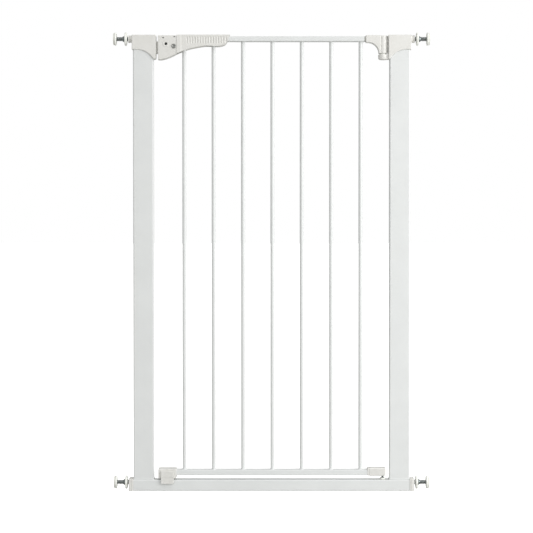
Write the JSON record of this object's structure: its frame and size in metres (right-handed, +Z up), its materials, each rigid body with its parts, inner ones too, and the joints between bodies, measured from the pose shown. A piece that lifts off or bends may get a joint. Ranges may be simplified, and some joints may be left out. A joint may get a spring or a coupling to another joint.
{
  "type": "safety baby gate",
  "caption": "Tall pressure-fit doorway gate: a U frame held by screw spindles with hand wheels, and a barred door with a sliding lift latch and pin hinges.",
  "frame": {"origin": "middle of the bottom rail's underside, half way between the walls and half way through the gate's depth", "axes": "+X to the right across the doorway, -Y out of the front, +Z up"},
  "size_m": [0.731, 0.0344, 1.0615],
  "materials": {
    "white_powder_coat": "satin white powder coat on steel tube",
    "white_moulding": "white moulded plastic, slightly warmer than the steel",
    "zinc_plate": "dark zinc-plated steel",
    "pale_rubber": "pale soft rubber",
    "spring_steel": "bright drawn wire"
  },
  "bodies": {
    "frame": {"left_post": "white_powder_coat", "right_post": "white_powder_coat", "bottom_rail": "white_powder_coat", "left_corner_cap": "white_moulding", "right_corner_cap": "white_moulding", "left_rail_end_cap": "white_moulding", "right_rail_end_cap": "white_moulding", "upper_hinge_bush": "white_moulding", "lower_hinge_bush": "white_moulding"},
    "lower_left_wheel": {"lower_left_hand_wheel": "white_moulding", "lower_left_wheel_nut": "zinc_plate"},
    "lower_left_spindle": {"lower_left_spindle_bolt": "zinc_plate", "lower_left_spindle_foot": "white_moulding", "lower_left_foot_pad": "pale_rubber"},
    "lower_right_wheel": {"lower_right_hand_wheel": "white_moulding", "lower_right_wheel_nut": "zinc_plate"},
    "lower_right_spindle": {"lower_right_spindle_bolt": "zinc_plate", "lower_right_spindle_foot": "white_moulding", "lower_right_foot_pad": "pale_rubber"},
    "hinge_pins": {"upper_hinge_pin": "zinc_plate", "lower_hinge_pin": "zinc_plate"},
    "upper_left_wheel": {"upper_left_hand_wheel": "white_moulding", "upper_left_wheel_nut": "zinc_plate"},
    "upper_left_spindle": {"upper_left_spindle_bolt": "zinc_plate", "upper_left_spindle_foot": "white_moulding", "upper_left_foot_pad": "pale_rubber"},
    "upper_right_wheel": {"upper_right_hand_wheel": "white_moulding", "upper_right_wheel_nut": "zinc_plate"},
    "upper_right_spindle": {"upper_right_spindle_bolt": "zinc_plate", "upper_right_spindle_foot": "white_moulding", "upper_right_foot_pad": "pale_rubber"},
    "door": {"door_top_rail": "white_powder_coat", "door_bottom_rail": "white_powder_coat", "door_bar_1": "white_powder_coat", "door_bar_2": "white_powder_coat", "door_bar_3": "white_powder_coat", "door_bar_4": "white_powder_coat", "door_bar_5": "white_powder_coat", "door_bar_6": "white_powder_coat", "door_bar_7": "white_powder_coat", "upper_hinge_bracket": "white_moulding", "lower_hinge_block": "white_moulding", "bottom_latch_block": "white_moulding", "bottom_stop": "white_moulding", "latch_housing_front": "white_moulding", "latch_housing_rear": "white_moulding", "housing_rivet": "zinc_plate", "housing_screw": "zinc_plate", "latch_spring": "spring_steel"},
    "latch": {"grip_front": "white_moulding", "grip_rear": "white_moulding", "latch_bolt": "white_moulding", "grip_screw_left": "zinc_plate", "grip_screw_right": "zinc_plate"}
  },
  "joints": [
    {"name": "door_swing", "type": "hinge", "parent": "frame", "child": "hinge_pins", "pos_m": [0.2578, 0, 0], "axis": [0, 0, 1], "range_deg": [-90, 90]},
    {"name": "door_lift", "type": "slide", "parent": "hinge_pins", "child": "door", "axis": [0, 0, 1], "range_m": [0, 0.0105]},
    {"name": "latch_slide", "type": "slide", "parent": "door", "child": "latch", "axis": [1, 0, 0], "range_m": [0, 0.012], "stiffness_N_per_m": 400, "springref_m": -0.006, "deforming": ["latch_spring"]},
    {"name": "lower_left_wheel_turn", "type": "hinge", "parent": "frame", "child": "lower_left_wheel", "pos_m": [-0.3345, 0, 0.019], "axis": [1, 0, 0], "range_deg": [0, 7200]},
    {"name": "lower_left_spindle_slide", "type": "slide", "parent": "frame", "child": "lower_left_spindle", "axis": [-1, 0, 0], "range_m": [0, 0.03]},
    {"name": "lower_right_wheel_turn", "type": "hinge", "parent": "frame", "child": "lower_right_wheel", "pos_m": [0.3345, 0, 0.019], "axis": [-1, 0, 0], "range_deg": [0, 7200]},
    {"name": "lower_right_spindle_slide", "type": "slide", "parent": "frame", "child": "lower_right_spindle", "axis": [1, 0, 0], "range_m": [0, 0.03]},
    {"name": "upper_left_wheel_turn", "type": "hinge", "parent": "frame", "child": "upper_left_wheel", "pos_m": [-0.3345, 0, 1.046], "axis": [1, 0, 0], "range_deg": [0, 7200]},
    {"name": "upper_left_spindle_slide", "type": "slide", "parent": "frame", "child": "upper_left_spindle", "axis": [-1, 0, 0], "range_m": [0, 0.03]},
    {"name": "upper_right_wheel_turn", "type": "hinge", "parent": "frame", "child": "upper_right_wheel", "pos_m": [0.3345, 0, 1.046], "axis": [-1, 0, 0], "range_deg": [0, 7200]},
    {"name": "upper_right_spindle_slide", "type": "slide", "parent": "frame", "child": "upper_right_spindle", "axis": [1, 0, 0], "range_m": [0, 0.03]}
  ],
  "couplings": [
    {"joint": "lower_left_wheel_turn", "follows": "lower_left_spindle_slide", "rad_per_m": 4188.8},
    {"joint": "lower_right_wheel_turn", "follows": "lower_right_spindle_slide", "rad_per_m": 4188.8},
    {"joint": "upper_left_wheel_turn", "follows": "upper_left_spindle_slide", "rad_per_m": 4188.8},
    {"joint": "upper_right_wheel_turn", "follows": "upper_right_spindle_slide", "rad_per_m": 4188.8}
  ]
}
